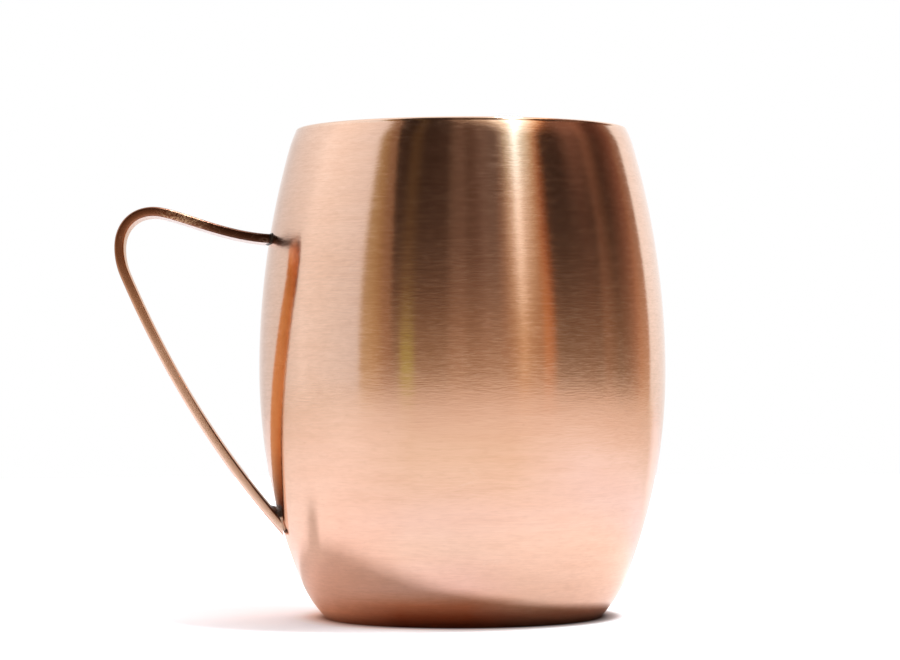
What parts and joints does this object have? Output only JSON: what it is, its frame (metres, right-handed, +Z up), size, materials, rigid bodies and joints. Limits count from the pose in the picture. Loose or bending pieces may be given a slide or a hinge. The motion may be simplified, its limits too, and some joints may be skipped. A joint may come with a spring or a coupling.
{
  "type": "moscow mule mug",
  "caption": "Barrel-shaped metal mug in brushed copper with a thin pale lining and a flat strap handle soldered on at an angle.",
  "frame": {"origin": "centre of the foot, on the plane that the mug stands on", "axes": "+Z up along the mug's axis; the handle reaches out along -X; +Y across the handle's plane"},
  "size_m": [0.1147, 0.085, 0.102],
  "materials": {
    "brushed_copper": "horizontally brushed copper, lacquered",
    "strap_copper": "lightly brushed copper",
    "lining_metal": "satin pale lining metal",
    "joint_solder": "heat-darkened solder"
  },
  "bodies": {
    "root": {"cup_wall": "brushed_copper", "base_disc": "brushed_copper", "base_seam": "joint_solder", "inner_lining": "lining_metal", "handle_strap": "strap_copper", "upper_joint_solder": "joint_solder", "lower_joint_solder": "joint_solder"}
  },
  "joints": []
}
